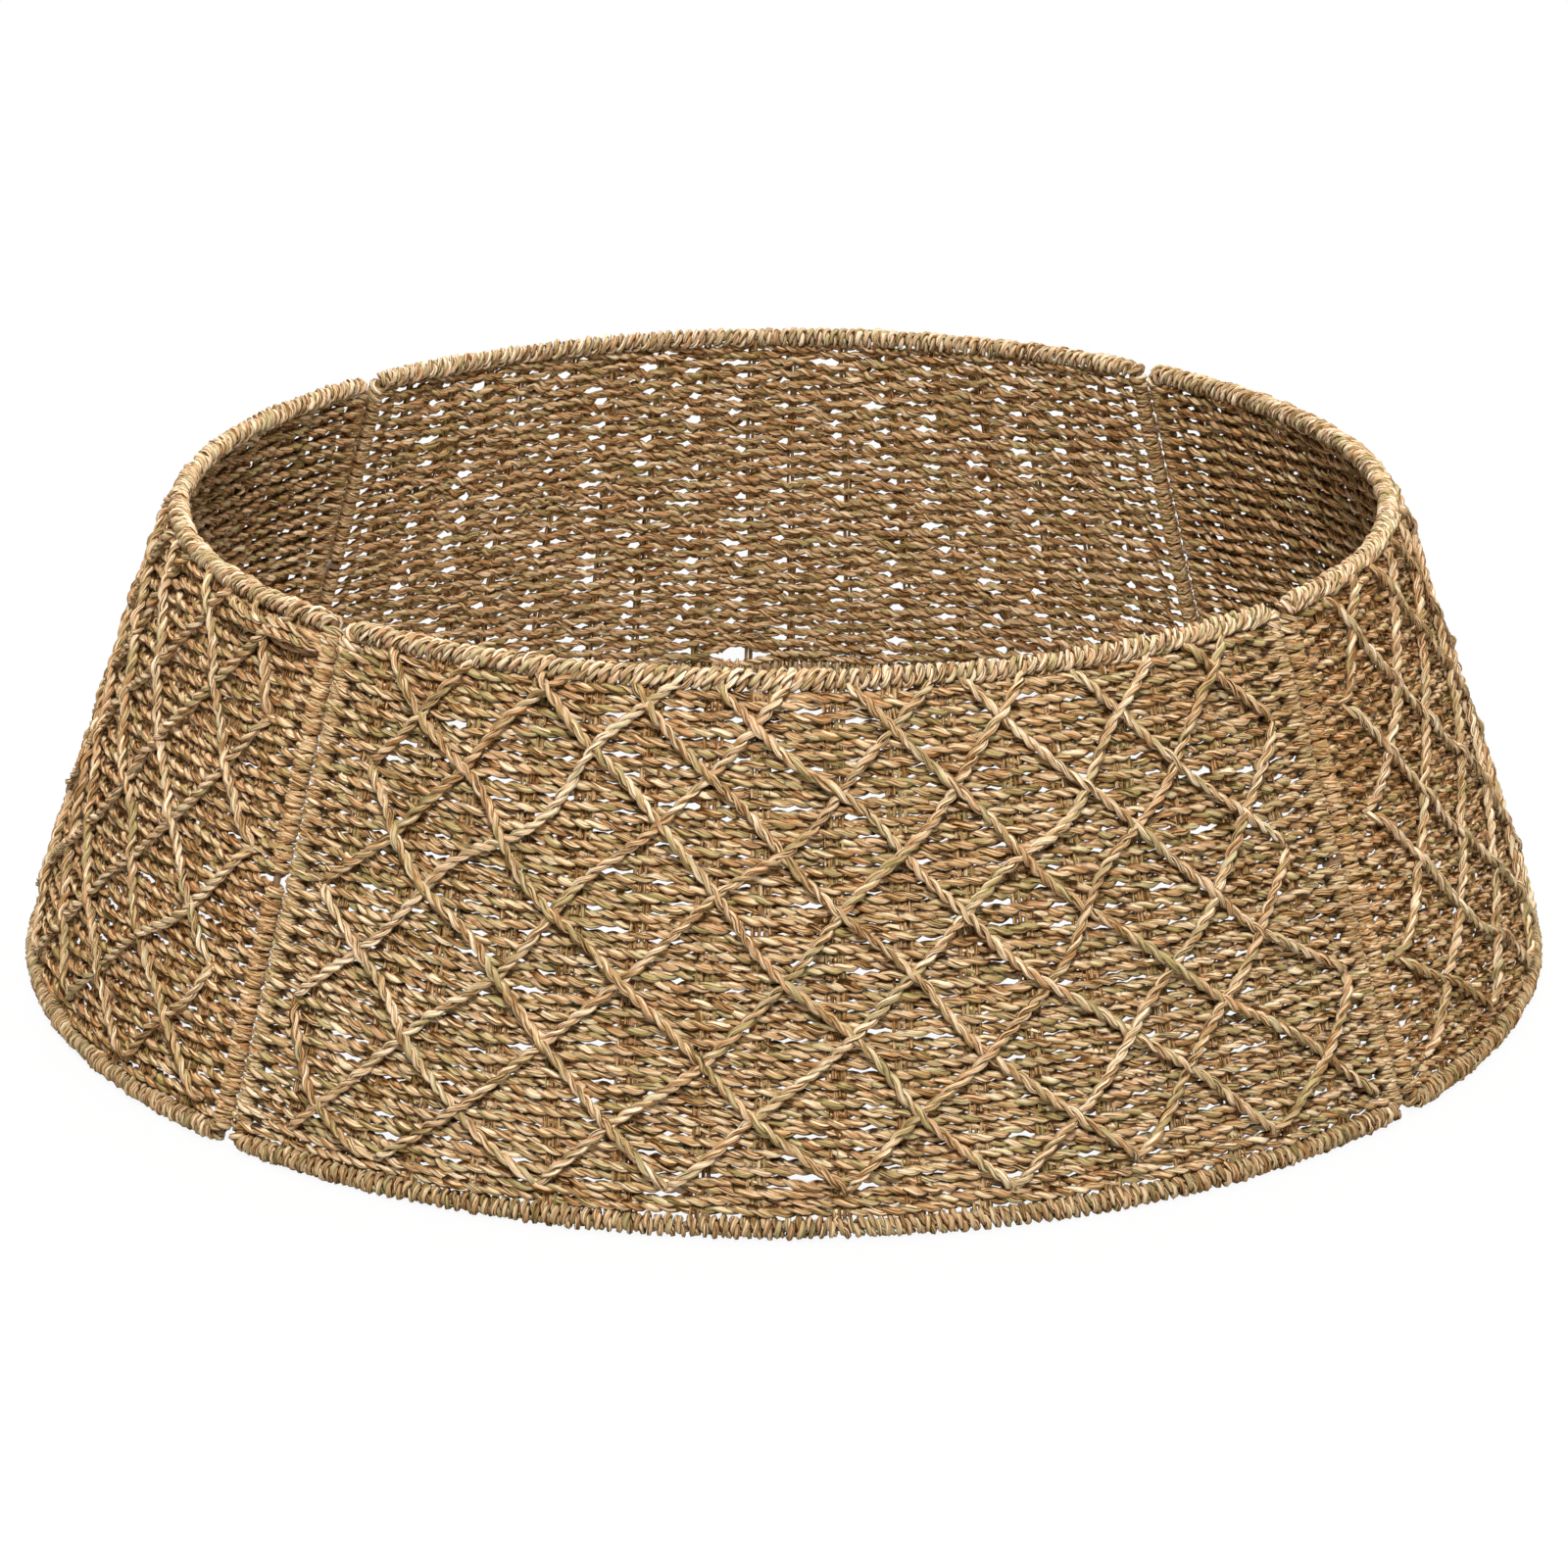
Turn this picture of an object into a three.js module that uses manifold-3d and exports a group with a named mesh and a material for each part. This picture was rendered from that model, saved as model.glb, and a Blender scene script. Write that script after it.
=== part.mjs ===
// Christmas tree collar: a flared ring of four woven seagrass panels, hinged to each other at their seams.
// Millimetres, +Z up. The origin is the centre of the ring on the floor, and the front panel faces -Y.
import * as THREE from "three";
import { mergeVertices } from "three/addons/utils/BufferGeometryUtils.js";
import Module from "manifold-3d";

const wasm = await Module();
wasm.setup();

// Overall size of the standing ring
const BOTTOM_DIAMETER = 660; // outside of the bottom rims
const TOP_DIAMETER = 520; // outside of the top rims
const HEIGHT = 200; // floor to the top of the top rims
const PANEL_NAMES = ["right", "back", "left", "front"]; // counter-clockwise from +X

// Thicknesses of one panel
const RIM_THICKNESS = 9; // rail wire bound with twine, across its flats
const WEAVE_THICKNESS = 8; // woven wall, from its outer to its inner face
const WIRE_DIAMETER = 3; // bent frame wire
const SEAM_GAP = 1.2; // least room between the rims of neighbouring panels

// Diamond lattice of twine on the outer face
const LATTICE_COLUMNS = 8; // diamonds along a panel
const LATTICE_ROWS = 4; // diamonds up a panel
const LATTICE_TWINE = 3.8; // width of one strand
const LATTICE_RELIEF = 3.2; // how far a strand stands out from the weave
const LATTICE_INSET = 18; // end stake to the outermost turn of the strands
const LATTICE_MARGIN = 4; // edge of the weave to the turns of the strands

// Figure-eight links that hinge one end stake to the next
const HINGED_SEAMS = ["right", "back", "front"]; // each panel here is linked to the next one counter-clockwise,
const NEXT_PANEL = { right: "back", back: "left", front: "right" }; // and the seam from left to front stays open
const LINKS_PER_SEAM = 3;
const LINK_EYE_WIDTH = 1.9; // metal round each stake
const LINK_BAR_WIDTH = 3;
const LINK_HEIGHT = 2;
const LINK_INSET = 32; // rail to the nearest link

// Fits and fineness
const CLEARANCE = 0.3;
const RIM_SIDES = 8; // one of them lies flat on the floor
const RIM_STEPS = 12;
const WIRE_SIDES = 6;
const EYE_STEPS = 5;
const ROUND_STEPS = 2;
const ROUND_ANGLE = THREE.MathUtils.degToRad(70); // rounded ends stop short of a sharp nose

// Derived sizes
const HALF_PANEL = Math.PI / PANEL_NAMES.length;
const RIM_RADIUS = RIM_THICKNESS / 2;
const RIM_CORNER_RADIUS = RIM_RADIUS / Math.cos(Math.PI / RIM_SIDES);
const BOTTOM_RAIL_RADIUS = BOTTOM_DIAMETER / 2 - RIM_RADIUS;
const TOP_RAIL_RADIUS = TOP_DIAMETER / 2 - RIM_RADIUS;
const RAIL_RISE = HEIGHT - RIM_THICKNESS;
const SLOPE = Math.atan2(BOTTOM_RAIL_RADIUS - TOP_RAIL_RADIUS, RAIL_RISE);
const SLANT = RAIL_RISE / Math.cos(SLOPE);
const STAKE_OFFSET = Math.max(RIM_CORNER_RADIUS, WEAVE_THICKNESS / 2) + SEAM_GAP / 2;
const EYE_RADIUS = WIRE_DIAMETER / 2 + CLEARANCE;
const EYE_OUTER_RADIUS = EYE_RADIUS + LINK_EYE_WIDTH;

// A rim is a chain of chords, so the weave keeps clear of the deepest chord too.
const RAIL_SAG = BOTTOM_RAIL_RADIUS * (1 - Math.cos(HALF_PANEL / RIM_STEPS));
const WEAVE_EDGE = RIM_CORNER_RADIUS + RAIL_SAG * Math.sin(SLOPE) + CLEARANCE;
const WEAVE_BOTTOM = WEAVE_EDGE;
const WEAVE_TOP = SLANT - WEAVE_EDGE;
const MIDDLE_RADIUS = BOTTOM_RAIL_RADIUS - (SLANT / 2) * Math.sin(SLOPE);
const LATTICE_REACH = 1 - LATTICE_INSET / (MIDDLE_RADIUS * HALF_PANEL - STAKE_OFFSET);

// The solid of a geometry, with its coincident vertices merged.
function solidOf(geometry) {
  const bare = geometry.index ? geometry.toNonIndexed() : geometry.clone();
  bare.deleteAttribute("normal");
  bare.deleteAttribute("uv");
  const merged = mergeVertices(bare);
  return new wasm.Manifold(
    new wasm.Mesh({
      numProp: 3,
      vertProperties: merged.attributes.position.array,
      triVerts: new Uint32Array(merged.index.array),
    }),
  );
}

// The geometry of a solid.
function geometryOf(solid) {
  const mesh = solid.getMesh();
  const geometry = new THREE.BufferGeometry();
  geometry.setAttribute("position", new THREE.BufferAttribute(mesh.vertProperties, 3));
  geometry.setIndex(new THREE.BufferAttribute(mesh.triVerts, 1));
  geometry.computeVertexNormals();
  return geometry;
}

// A geometry of flat triangles, each given as three points.
function triangleGeometry(triangles) {
  const geometry = new THREE.BufferGeometry().setFromPoints(triangles.flat());
  geometry.computeVertexNormals();
  return geometry;
}

// A skin over rings of points that run counter-clockwise about the way ahead. An open skin is capped.
function loft(rings, closed) {
  const triangles = [];
  const count = rings[0].length;
  const last = closed ? rings.length : rings.length - 1;
  for (let i = 0; i < last; i++) {
    const here = rings[i];
    const ahead = rings[(i + 1) % rings.length];
    for (let j = 0; j < count; j++) {
      const k = (j + 1) % count;
      triangles.push([here[j], ahead[k], ahead[j]], [here[j], here[k], ahead[k]]);
    }
  }
  if (!closed) {
    triangles.push(...cap(rings[0], true), ...cap(rings[rings.length - 1], false));
  }
  return triangleGeometry(triangles);
}

// A fan over one ring, turned round on the first ring of a skin.
function cap(ring, first) {
  const middle = new THREE.Vector3();
  ring.forEach((point) => middle.addScaledVector(point, 1 / ring.length));
  return ring.map((point, j) => {
    const next = ring[(j + 1) % ring.length];
    return first ? [middle, next, point] : [middle, point, next];
  });
}

// A place on the middle of a panel's wall, in the panel's own frame, where the panel bulges to +X.
// along runs from -1 to 1 between the end stakes, and up is the way up the wall from the bottom rail.
function wallPlace(along, up) {
  const radius = BOTTOM_RAIL_RADIUS - up * Math.sin(SLOPE);
  const azimuth = along * (HALF_PANEL - Math.asin(STAKE_OFFSET / radius));
  const radial = new THREE.Vector3(Math.cos(azimuth), Math.sin(azimuth), 0);
  const tangent = new THREE.Vector3(-Math.sin(azimuth), Math.cos(azimuth), 0);
  const normal = radial.clone().multiplyScalar(Math.cos(SLOPE)).setZ(Math.sin(SLOPE));
  const centre = radial.clone().multiplyScalar(radius).setZ(RIM_RADIUS + up * Math.cos(SLOPE));
  return { centre, radial, tangent, normal };
}

// Stations along a piece whose ends are rounded beyond the end stakes. past is how far a station lies
// beyond the stake as a share of the end's radius, and narrow is its width as a share of the full width.
function stationsOf(alongs) {
  const rounded = Array.from({ length: ROUND_STEPS }, (_, i) => (ROUND_ANGLE * (i + 1)) / ROUND_STEPS);
  const endOf = (along) => (angle) => ({
    along,
    past: along * Math.sin(angle),
    narrow: Math.cos(angle),
  });
  const body = alongs.map((along) => ({ along, past: 0, narrow: 1 }));
  return [...rounded.map(endOf(-1)).reverse(), ...body, ...rounded.map(endOf(1))];
}

// Evenly spaced values from -reach to reach.
function evenAlong(steps, reach) {
  return Array.from({ length: steps + 1 }, (_, i) => reach * ((2 * i) / steps - 1));
}

// The frame of one panel: a wire that runs along the bottom rail, up a stake, back along the top rail and
// down the other stake. Its corners are mitred.
function frameGeometry(wireRadius) {
  const alongs = evenAlong(RIM_STEPS, 1);
  const loop = [
    ...alongs.map((along) => wallPlace(along, 0)),
    ...alongs.map((along) => wallPlace(-along, SLANT)),
  ];
  const rings = loop.map((place, i) => {
    const before = loop[(i + loop.length - 1) % loop.length].centre;
    const after = loop[(i + 1) % loop.length].centre;
    const arriving = place.centre.clone().sub(before).normalize();
    const leaving = after.clone().sub(place.centre).normalize();
    const mitre = arriving.clone().add(leaving).normalize();
    const across = arriving.clone().cross(place.normal).normalize();
    return Array.from({ length: WIRE_SIDES }, (_, j) => {
      const angle = (2 * Math.PI * j) / WIRE_SIDES;
      const spoke = place.normal.clone().multiplyScalar(Math.cos(angle) * wireRadius);
      spoke.addScaledVector(across, Math.sin(angle) * wireRadius);
      spoke.addScaledVector(arriving, -spoke.dot(mitre) / arriving.dot(mitre));
      return place.centre.clone().add(spoke);
    });
  });
  return loft(rings, true);
}

// A rim: the twine bound tightly round one rail, as a sleeve with rounded ends.
function rimGeometry(up, tunnel) {
  const rings = stationsOf(evenAlong(RIM_STEPS, 1)).map(({ along, past, narrow }) => {
    const { centre, radial, tangent } = wallPlace(along, up);
    return Array.from({ length: RIM_SIDES }, (_, j) => {
      const angle = (2 * Math.PI * (j + 0.5)) / RIM_SIDES;
      const point = centre.clone().addScaledVector(tangent, past * RIM_CORNER_RADIUS);
      point.addScaledVector(radial, Math.sin(angle) * RIM_CORNER_RADIUS * narrow);
      point.z += Math.cos(angle) * RIM_CORNER_RADIUS * narrow;
      return point;
    });
  });
  return geometryOf(solidOf(loft(rings, false)).subtract(tunnel));
}

// The slot that leaves room for a link at one end of the weave.
function linkSlot(along, up) {
  const { centre, normal, tangent } = wallPlace(along, up);
  const inward = EYE_OUTER_RADIUS + CLEARANCE;
  const outward = STAKE_OFFSET;
  const box = new THREE.BoxGeometry(
    WEAVE_THICKNESS + EYE_OUTER_RADIUS,
    inward + outward,
    LINK_HEIGHT + 2 * CLEARANCE,
  );
  const endward = tangent.clone().multiplyScalar(along);
  const upward = normal.clone().cross(tangent);
  const turn = new THREE.Matrix4().makeBasis(normal, tangent, upward);
  box.applyMatrix4(turn);
  const middle = centre.addScaledVector(endward, (outward - inward) / 2);
  return box.translate(middle.x, middle.y, middle.z);
}

// Heights of the links along a seam.
function linkHeights() {
  const spacing = (SLANT - 2 * LINK_INSET) / (LINKS_PER_SEAM - 1);
  return Array.from({ length: LINKS_PER_SEAM }, (_, i) => LINK_INSET + i * spacing);
}

// The woven wall of one panel, with room for the stakes and the links at both ends.
function weaveGeometry(tunnel) {
  const alongs = [-1, ...evenAlong(2 * LATTICE_COLUMNS, LATTICE_REACH), 1];
  const half = WEAVE_THICKNESS / 2;
  const corners = [
    [WEAVE_TOP, half],
    [WEAVE_BOTTOM, half],
    [WEAVE_BOTTOM, -half],
    [WEAVE_TOP, -half],
  ];
  const rings = stationsOf(alongs).map(({ along, past, narrow }) =>
    corners.map(([up, out]) => {
      const { centre, tangent, normal } = wallPlace(along, up);
      return centre.addScaledVector(tangent, past * half).addScaledVector(normal, out * narrow);
    }),
  );
  let weave = solidOf(loft(rings, false)).subtract(tunnel);
  for (const up of linkHeights()) {
    weave = weave.subtract(solidOf(linkSlot(-1, up))).subtract(solidOf(linkSlot(1, up)));
  }
  return geometryOf(weave);
}

// The lattice of one panel: a flat net whose strands cross at hubs. Column and row count in half diamonds
// from the top corner, and a hub stands wherever both are odd or both are even.
function latticeGeometry() {
  const columns = 2 * LATTICE_COLUMNS;
  const rows = 2 * LATTICE_ROWS;
  const top = WEAVE_TOP - LATTICE_MARGIN;
  const height = top - WEAVE_BOTTOM - LATTICE_MARGIN;
  const length = 2 * LATTICE_REACH * MIDDLE_RADIUS * HALF_PANEL;
  const halfTwine = (LATTICE_TWINE / 2) * Math.hypot(columns / length, rows / height);
  const inner = WEAVE_THICKNESS / 2 + CLEARANCE;
  const outer = inner + LATTICE_RELIEF;
  const place = (column, row, out) => {
    const along = LATTICE_REACH * ((2 * column) / columns - 1);
    const { centre, normal } = wallPlace(along, top - (row * height) / rows);
    return centre.addScaledVector(normal, out);
  };
  const triangles = [];
  // A flat piece of net, from its corners in clockwise order seen from outside.
  const slab = (corners) => {
    const face = corners.map(([column, row]) => place(column, row, outer));
    const back = corners.map(([column, row]) => place(column, row, inner));
    triangles.push([face[0], face[2], face[1]], [face[0], face[3], face[2]]);
    triangles.push([back[0], back[1], back[2]], [back[0], back[2], back[3]]);
  };
  // The side of a strand or a hub, from one corner clockwise to the next.
  const side = ([from, to]) => {
    const [a, b] = [place(...from, outer), place(...to, outer)];
    const [c, d] = [place(...from, inner), place(...to, inner)];
    triangles.push([a, b, d], [a, d, c]);
  };
  const inside = (column, row) => column >= 0 && column <= columns && row >= 0 && row <= rows;
  for (let row = 0; row <= rows; row++) {
    for (let column = row % 2; column <= columns; column += 2) {
      const [west, north] = [[column - halfTwine, row], [column, row - halfTwine]];
      const [east, south] = [[column + halfTwine, row], [column, row + halfTwine]];
      slab([west, north, east, south]);
      // A strand leaves a hub across each of its four edges, unless the net ends there.
      if (!inside(column - 1, row - 1)) side([west, north]);
      if (!inside(column + 1, row - 1)) side([north, east]);
      if (!inside(column + 1, row + 1)) side([east, south]);
      if (!inside(column - 1, row + 1)) side([south, west]);
      if (inside(column + 1, row + 1)) {
        const [farNorth, farWest] = [[column + 1, row + 1 - halfTwine], [column + 1 - halfTwine, row + 1]];
        slab([east, farNorth, farWest, south]);
        side([east, farNorth]);
        side([farWest, south]);
      }
      if (inside(column - 1, row + 1)) {
        const [farEast, farNorth] = [[column - 1 + halfTwine, row + 1], [column - 1, row + 1 - halfTwine]];
        slab([west, south, farEast, farNorth]);
        side([south, farEast]);
        side([farNorth, west]);
      }
    }
  }
  return triangleGeometry(triangles);
}

// A figure-eight link: an eye round each of two neighbouring stakes, joined by a bar.
function linkGeometry() {
  const flare = Math.asin(LINK_BAR_WIDTH / 2 / EYE_OUTER_RADIUS);
  const quarter = Math.PI / 2;
  const outline = new THREE.Shape();
  outline.absarc(0, STAKE_OFFSET, EYE_OUTER_RADIUS, flare - quarter, 3 * quarter - flare, false);
  outline.absarc(0, -STAKE_OFFSET, EYE_OUTER_RADIUS, quarter + flare, 5 * quarter - flare, false);
  outline.closePath();
  for (const middle of [STAKE_OFFSET, -STAKE_OFFSET]) {
    const eye = new THREE.Path();
    eye.absarc(0, middle, EYE_RADIUS, 0, 2 * Math.PI, false);
    outline.holes.push(eye);
  }
  const link = new THREE.ExtrudeGeometry(outline, {
    depth: LINK_HEIGHT,
    bevelEnabled: false,
    curveSegments: EYE_STEPS,
  });
  return geometryOf(solidOf(link.translate(0, 0, -LINK_HEIGHT / 2)));
}

const FINISHES = {
  frame: { color: 0x5b4630, roughness: 0.5, metalness: 0.6 },
  weave: { color: 0xa38350, roughness: 0.85, metalness: 0 },
  top_rim: { color: 0xbe9f68, roughness: 0.8, metalness: 0 },
  bottom_rim: { color: 0xb09058, roughness: 0.8, metalness: 0 },
  lattice: { color: 0xbda06a, roughness: 0.8, metalness: 0 },
  link: { color: 0x5b4630, roughness: 0.5, metalness: 0.6 },
};

// One named piece with its own material.
function piece(name, geometry, finish) {
  const mesh = new THREE.Mesh(geometry, new THREE.MeshStandardMaterial(FINISHES[finish]));
  mesh.name = name;
  return mesh;
}

const tunnel = solidOf(frameGeometry(WIRE_DIAMETER / 2 + CLEARANCE));
const panelGeometries = {
  frame: frameGeometry(WIRE_DIAMETER / 2),
  weave: weaveGeometry(tunnel),
  top_rim: rimGeometry(SLANT, tunnel),
  bottom_rim: rimGeometry(0, tunnel),
  lattice: latticeGeometry(),
};

const collar = new THREE.Group();

// Panels, each turned to its side of the ring
PANEL_NAMES.forEach((name, side) => {
  const panel = new THREE.Group();
  panel.rotation.z = 2 * HALF_PANEL * side;
  for (const [kind, geometry] of Object.entries(panelGeometries)) {
    panel.add(piece(`${name}_${kind}`, geometry, kind));
  }
  collar.add(panel);
});

// Links, each set square to its leaning seam
const link = linkGeometry();
for (const name of HINGED_SEAMS) {
  const seam = new THREE.Group();
  seam.rotation.z = 2 * HALF_PANEL * (PANEL_NAMES.indexOf(name) + 0.5);
  const lean = new THREE.Group();
  lean.position.set(BOTTOM_RAIL_RADIUS, 0, RIM_RADIUS);
  lean.rotation.y = -SLOPE;
  linkHeights().forEach((up, i) => {
    const mesh = piece(`${name}_${NEXT_PANEL[name]}_link_${i + 1}`, link, "link");
    mesh.position.z = up;
    lean.add(mesh);
  });
  seam.add(lean);
  collar.add(seam);
}

export default collar;
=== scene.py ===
"""Looks of a Christmas tree collar: four woven seagrass panels that stand in a flared ring.

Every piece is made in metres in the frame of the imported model: the origin is the centre of the ring on the
floor, +Z is up and the front panel faces -Y.
"""
import logging
import math
from dataclasses import dataclass, field
from enum import Enum
from typing import Any

import bmesh
import bpy
import numpy as np
from bpy.types import Material, Mesh, NodeSocket, NodeTree, Object
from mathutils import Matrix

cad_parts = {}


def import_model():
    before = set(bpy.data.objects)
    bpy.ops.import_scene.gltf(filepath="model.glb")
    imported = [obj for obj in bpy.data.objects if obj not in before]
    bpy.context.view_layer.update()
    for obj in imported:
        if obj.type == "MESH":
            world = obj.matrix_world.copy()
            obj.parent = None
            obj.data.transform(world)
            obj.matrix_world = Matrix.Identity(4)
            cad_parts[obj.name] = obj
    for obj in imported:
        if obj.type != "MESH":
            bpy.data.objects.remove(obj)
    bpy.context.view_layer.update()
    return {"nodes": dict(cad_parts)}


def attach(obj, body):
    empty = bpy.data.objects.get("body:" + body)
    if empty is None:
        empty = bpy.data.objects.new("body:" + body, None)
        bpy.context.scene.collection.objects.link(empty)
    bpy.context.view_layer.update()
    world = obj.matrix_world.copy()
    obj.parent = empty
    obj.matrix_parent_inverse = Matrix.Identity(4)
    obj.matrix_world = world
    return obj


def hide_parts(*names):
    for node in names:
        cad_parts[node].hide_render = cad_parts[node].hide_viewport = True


log = logging.getLogger("collar")
MM = 0.001
CENTIMETRE = 10.0 * MM
TINY = 1e-12
TAU = 2.0 * math.pi
QUARTER = math.pi / 2.0
Array = np.ndarray
Pair = tuple[float, float]
Point = tuple[float, float, float]
UPRIGHT = np.array([0.0, 0.0, 1.0])
WHITE = (1.0, 1.0, 1.0, 1.0)

# Seeds of the first panel's parts, from which those of the others count up.
WALL_SEED = 11
RIM_SEED = 31
NET_SEED = 51

# Length of the loose ends of twine on the left panel.
LOOSE_ENDS = 64.0 * MM


class PanelSide(Enum):
    """The four panels, counted in quarter turns from +X."""

    RIGHT = 0
    BACK = 1
    LEFT = 2
    FRONT = 3

    @property
    def body(self) -> str:
        """The name of the panel's body, which also starts the names of its nodes."""
        return self.name.lower()


class Part(Enum):
    """The parts of a panel, each with the end of its node's name and the record's material slot."""

    WALL = ("weave", "woven_seagrass")
    TOP_RIM = ("top_rim", "rim_seagrass")
    BOTTOM_RIM = ("bottom_rim", "rim_seagrass")
    NET = ("lattice", "lattice_seagrass")


@dataclass(frozen=True)
class RingForm:
    """The flared ring and the surface that its panels lie on."""

    bottom_diameter: float = 660.0 * MM  # outside of the bottom rims
    top_diameter: float = 520.0 * MM  # outside of the top rims
    height: float = 200.0 * MM  # floor to the top of the top rims
    rim: float = 9.0 * MM  # thickness of a bound rim across its flats
    weave: float = 8.0 * MM  # thickness of the woven wall
    seam_gap: float = 1.2 * MM  # least room between the rims of neighbouring panels
    rim_sides: int = 8  # flats round a rim of the solid model

    @property
    def low_rail(self) -> float:
        """Radius of the bottom rail."""
        return (self.bottom_diameter - self.rim) / 2.0

    @property
    def high_rail(self) -> float:
        """Radius of the top rail."""
        return (self.top_diameter - self.rim) / 2.0

    @property
    def slope(self) -> float:
        """How far the wall leans in from upright, in radians."""
        return math.atan2(self.low_rail - self.high_rail, self.height - self.rim)

    @property
    def slant(self) -> float:
        """Length of the wall between its rails."""
        return (self.height - self.rim) / math.cos(self.slope)

    @property
    def stake_offset(self) -> float:
        """Distance of an end stake from its seam."""
        corner = self.rim / 2.0 / math.cos(math.pi / self.rim_sides)
        return max(corner, self.weave / 2.0) + self.seam_gap / 2.0

    def radius(self, up: Any) -> Any:
        """Radius of the middle of the wall, some way up it from the bottom rail."""
        return self.low_rail - up * math.sin(self.slope)

    def half_turn(self, up: Any) -> Any:
        """Angle from the middle of a panel to a stake, some way up the wall."""
        return QUARTER / 2.0 - np.arcsin(self.stake_offset / self.radius(up))

    def half_length(self, up: Any) -> Any:
        """Length of the arc from the middle of a panel to a stake, some way up the wall."""
        return self.radius(up) * self.half_turn(up)

    def place(self, side: PanelSide, along: Any, up: Any, out: Any, past: Any = 0.0) -> Array:
        """Points on or near the wall of one panel.

        Args:
            side: the panel.
            along: -1 to 1 between the end stakes, counter-clockwise.
            up: way up the wall from the bottom rail.
            out: distance from the middle of the wall, outwards.
            past: distance beyond that along the tangent.

        Returns:
            One row of x, y and z for each point.
        """
        along, up, out, past = np.broadcast_arrays(along, up, out, past)
        turn = along * self.half_turn(up) + side.value * QUARTER
        reach = self.radius(up) + out * math.cos(self.slope)
        x = reach * np.cos(turn) - past * np.sin(turn)
        y = reach * np.sin(turn) + past * np.cos(turn)
        z = self.rim / 2.0 + up * math.cos(self.slope) + out * math.sin(self.slope)
        return np.stack([x, y, z], axis=-1)

    def tangent(self, side: PanelSide, along: float) -> Array:
        """The level direction along a panel, at a place from -1 to 1 between its end stakes."""
        turn = along * QUARTER / 2.0 + side.value * QUARTER
        return np.array([-np.sin(turn), np.cos(turn), 0.0])


@dataclass(frozen=True)
class Sway:
    """A smooth random change along a line, as handwork has."""

    size: float  # the most that it changes by, either way
    spacing: float  # distance over which it changes

    def draw(self, rng: np.random.Generator, where: Array) -> Array:
        """Draws the change along one line.

        Args:
            rng: the source of the values.
            where: distance along the line of each point, from nought up.

        Returns:
            One value for each point.
        """
        knots = rng.uniform(-1.0, 1.0, int(where.max() / self.spacing) + 3)
        step = where / self.spacing
        low = np.floor(step).astype(int)
        ease = (1.0 - np.cos((step - low) * math.pi)) / 2.0
        return self.size * (knots[low] * (1.0 - ease) + knots[low + 1] * ease)


@dataclass
class Run:
    """One length of strand that an outline is swept along."""

    points: Array  # the line it follows
    core: Array  # the middle of the whole strand at each point
    rise: Array  # direction of the neighbouring strands at each point
    twist: Array  # turn of the outline at each point, in radians
    girth: Array  # size of the outline at each point, as a share
    tint: float  # shift of its colour


def lengths_of(points: Array) -> Array:
    """The distance along a line from its first point to each of its points."""
    steps = np.linalg.norm(np.diff(points, axis=0), axis=1)
    return np.concatenate([[0.0], np.cumsum(steps)])


def unit(vectors: Array) -> Array:
    """Vectors of length 1 in the directions of others, one in each row."""
    return vectors / np.linalg.norm(vectors, axis=1, keepdims=True)


def fall_off(distance: Array, reach: Any) -> Array:
    """A share that is 1 at no distance and falls smoothly to nothing past a reach."""
    return np.exp(-(distance / reach) ** 2)


def add_object(name: str, data: Any) -> Object:
    """Links a new object to the scene.

    Args:
        name: name of the object.
        data: its mesh, curve, light or camera.

    Returns:
        The object.
    """
    made = bpy.data.objects.new(name, data)
    bpy.context.scene.collection.objects.link(made)
    return made


def close_ends(mesh: Mesh) -> None:
    """Closes the open ends of swept strands.

    Args:
        mesh: the swept mesh.
    """
    work = bmesh.new()
    work.from_mesh(mesh)
    open_edges = [edge for edge in work.edges if edge.is_boundary]
    bmesh.ops.holes_fill(work, edges=open_edges, sides=0)
    work.to_mesh(mesh)
    work.free()


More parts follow.
